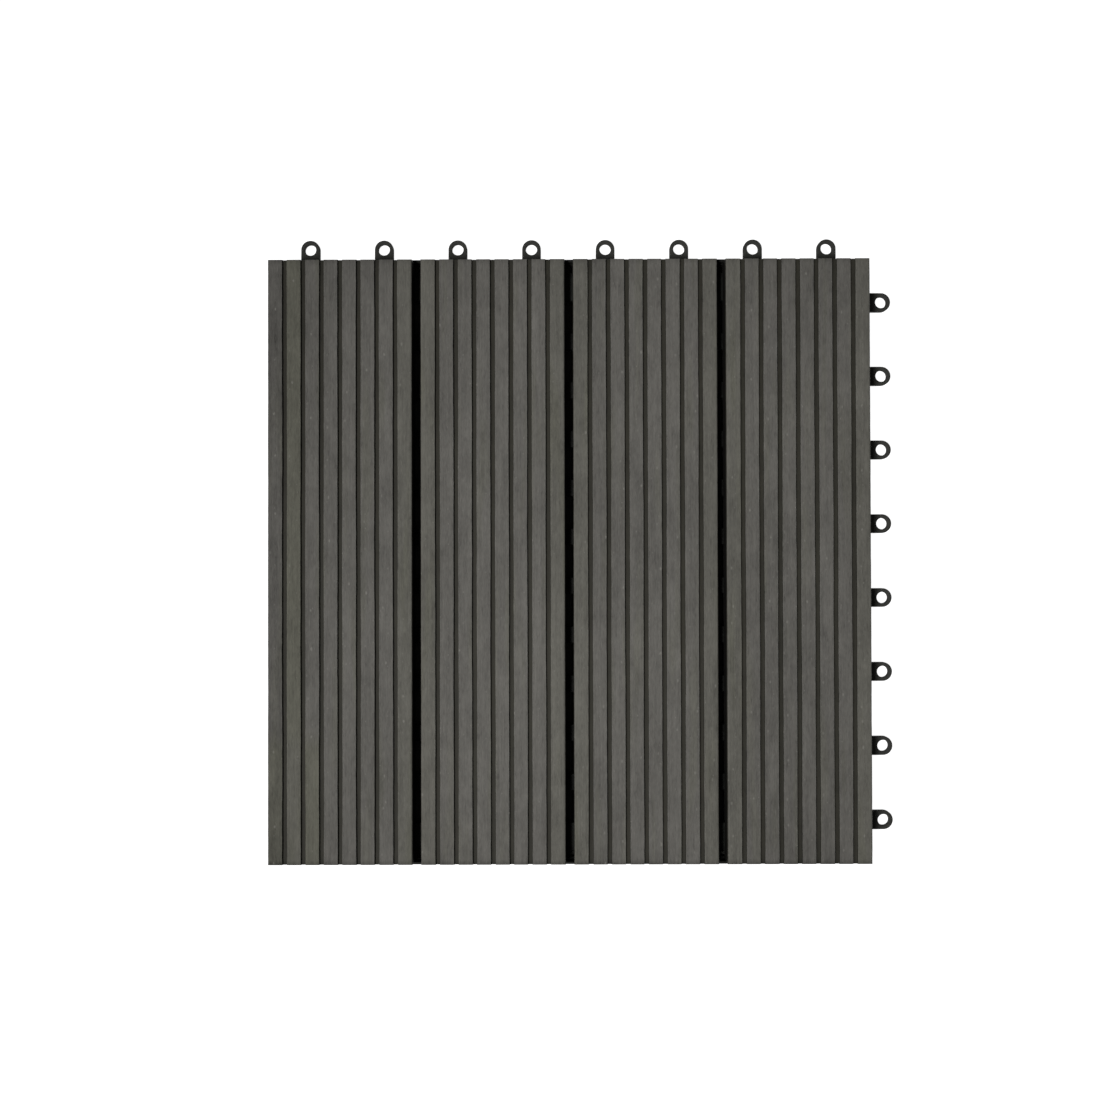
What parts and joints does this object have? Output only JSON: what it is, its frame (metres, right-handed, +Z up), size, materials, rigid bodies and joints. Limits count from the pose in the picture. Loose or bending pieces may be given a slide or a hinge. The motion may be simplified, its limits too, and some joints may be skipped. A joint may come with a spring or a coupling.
{
  "type": "interlocking deck tile",
  "caption": "Square click-together deck tile: grooved composite slats on a moulded lattice base, with loops on two sides and pegs under the other two.",
  "frame": {"origin": "on the ground, under the middle of the laying square, at the foot in the middle of the base", "axes": "+Z up through the tread; the slats run along Y; the loops stand out on the +X and +Y sides, the pegs are under the -X and -Y sides"},
  "size_m": [0.3133, 0.3133, 0.022],
  "materials": {
    "base_plastic": "matt moulded black-grey plastic",
    "slat_composite": "matt brushed wood-plastic composite, dark grey",
    "screw_steel": "plain steel"
  },
  "bodies": {
    "root": {"base_grid": "base_plastic", "slat_1": "slat_composite", "slat_2": "slat_composite", "slat_3": "slat_composite", "slat_4": "slat_composite", "fixing_screws": "screw_steel"}
  },
  "joints": []
}
